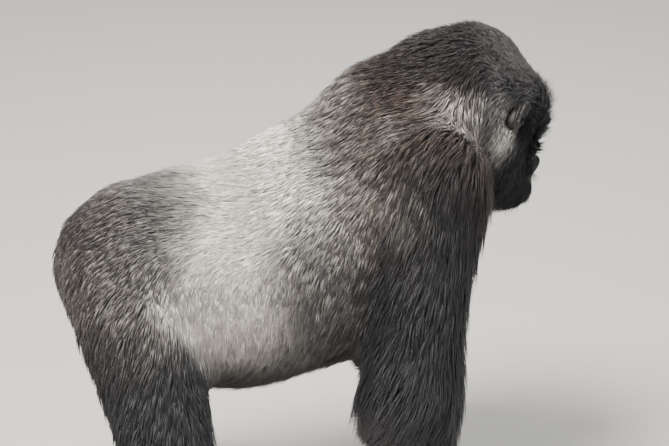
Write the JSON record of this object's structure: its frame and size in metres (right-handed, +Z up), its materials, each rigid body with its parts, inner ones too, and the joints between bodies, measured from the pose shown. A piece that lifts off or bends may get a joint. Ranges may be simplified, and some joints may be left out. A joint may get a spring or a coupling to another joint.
{
  "type": "gorilla",
  "caption": "Life-size still model of a silverback gorilla walking on its knuckles and soles, its head lowered and turned to its left.",
  "frame": {"origin": "middle of the model's bounding box, on the floor it stands on", "axes": "+X the way the body faces, +Y its left side, +Z up"},
  "size_m": [1.0692, 0.796, 1.0846],
  "materials": {
    "dark_fur": "shaggy near-black coat with brown and blue-grey lights",
    "silver_fur": "short dense silver-grey coat of the saddle",
    "bare_skin": "bare black wrinkled skin with a soft sheen",
    "eye": "wet dark brown eye",
    "nail": "dark satin nail"
  },
  "bodies": {
    "root": {"head": "dark_fur", "neck": "dark_fur", "chest": "dark_fur", "upper_arm_l": "dark_fur", "forearm_l": "dark_fur", "thigh_l": "dark_fur", "shank_l": "dark_fur", "upper_arm_r": "dark_fur", "forearm_r": "dark_fur", "thigh_r": "dark_fur", "shank_r": "dark_fur", "abdomen": "silver_fur", "ear_l": "bare_skin", "ear_r": "bare_skin", "hand_l": "bare_skin", "foot_l": "bare_skin", "hand_r": "bare_skin", "foot_r": "bare_skin", "index_finger_l": "bare_skin", "middle_finger_l": "bare_skin", "ring_finger_l": "bare_skin", "little_finger_l": "bare_skin", "thumb_l": "bare_skin", "second_toe_l": "bare_skin", "third_toe_l": "bare_skin", "fourth_toe_l": "bare_skin", "little_toe_l": "bare_skin", "great_toe_l": "bare_skin", "index_finger_r": "bare_skin", "middle_finger_r": "bare_skin", "ring_finger_r": "bare_skin", "little_finger_r": "bare_skin", "thumb_r": "bare_skin", "second_toe_r": "bare_skin", "third_toe_r": "bare_skin", "fourth_toe_r": "bare_skin", "little_toe_r": "bare_skin", "great_toe_r": "bare_skin", "eye_l": "eye", "eye_r": "eye", "nail_index_finger_l": "nail", "nail_middle_finger_l": "nail", "nail_ring_finger_l": "nail", "nail_little_finger_l": "nail", "nail_thumb_l": "nail", "nail_second_toe_l": "nail", "nail_third_toe_l": "nail", "nail_fourth_toe_l": "nail", "nail_little_toe_l": "nail", "nail_great_toe_l": "nail", "nail_index_finger_r": "nail", "nail_middle_finger_r": "nail", "nail_ring_finger_r": "nail", "nail_little_finger_r": "nail", "nail_thumb_r": "nail", "nail_second_toe_r": "nail", "nail_third_toe_r": "nail", "nail_fourth_toe_r": "nail", "nail_little_toe_r": "nail", "nail_great_toe_r": "nail"}
  },
  "joints": []
}
